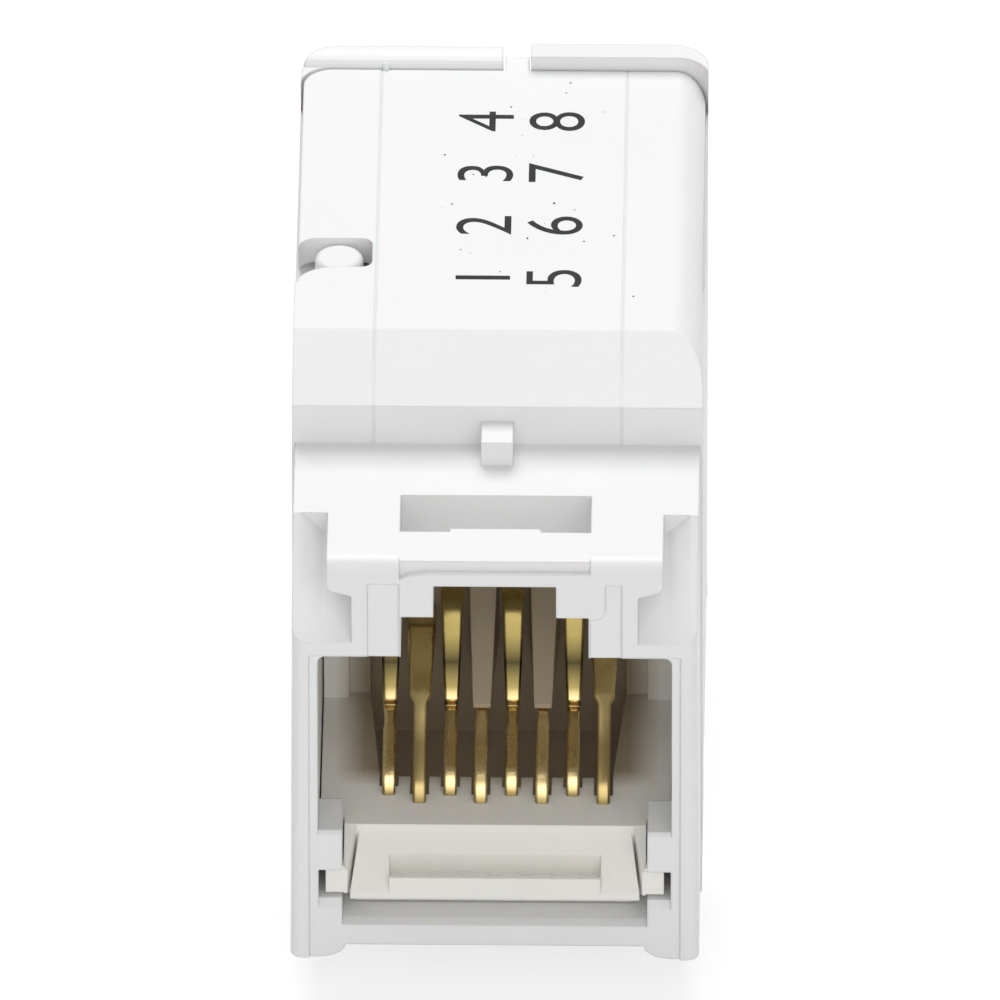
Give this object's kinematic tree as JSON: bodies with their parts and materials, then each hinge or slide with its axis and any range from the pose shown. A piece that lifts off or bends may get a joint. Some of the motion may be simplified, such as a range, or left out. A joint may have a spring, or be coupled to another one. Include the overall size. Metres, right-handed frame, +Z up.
{
  "type": "keystone jack",
  "caption": "Snap-in network jack: white plastic nose with a modular plug port and gilt spring contacts, and a rear body whose two hinged wings close round the cable.",
  "frame": {"origin": "on the surface the jack stands on, under the middle of its bounding box", "axes": "-Y is the face that takes the plug, +Y is the cable end, +X is to the right seen from the front, +Z is up, the side with the plug's latch slot"},
  "size_m": [0.0136, 0.0268, 0.021],
  "materials": {
    "housing_white": "satin moulded polycarbonate",
    "wing_white": "satin moulded polycarbonate",
    "carrier_ivory": "matt moulded",
    "guide_ivory": "matt moulded",
    "contact_gold": "gold plated",
    "board_green": "solder mask",
    "block_grey": "matt moulded",
    "blade_tin": "tin plated"
  },
  "bodies": {
    "housing": {"main_housing": "housing_white", "contact_carrier": "carrier_ivory", "contact_1": "contact_gold", "contact_2": "contact_gold", "contact_3": "contact_gold", "contact_4": "contact_gold", "contact_5": "contact_gold", "contact_6": "contact_gold", "contact_7": "contact_gold", "contact_8": "contact_gold", "circuit_board": "board_green", "idc_block": "block_grey", "idc_blade_1": "blade_tin", "idc_blade_2": "blade_tin", "idc_blade_3": "blade_tin", "idc_blade_4": "blade_tin", "idc_blade_5": "blade_tin", "idc_blade_6": "blade_tin", "idc_blade_7": "blade_tin", "idc_blade_8": "blade_tin"},
    "left_door": {"left_wing": "wing_white", "left_wire_guide": "guide_ivory"},
    "right_door": {"right_wing": "wing_white", "right_wire_guide": "guide_ivory"}
  },
  "joints": [
    {"name": "left_wing_hinge", "type": "hinge", "parent": "housing", "child": "left_door", "pos_m": [-0.00535, 0.00122, 0.01], "axis": [0, 0, 1], "range_deg": [0, 90]},
    {"name": "right_wing_hinge", "type": "hinge", "parent": "housing", "child": "right_door", "pos_m": [0.00535, 0.00122, 0.01], "axis": [0, 0, -1], "range_deg": [0, 90]}
  ]
}
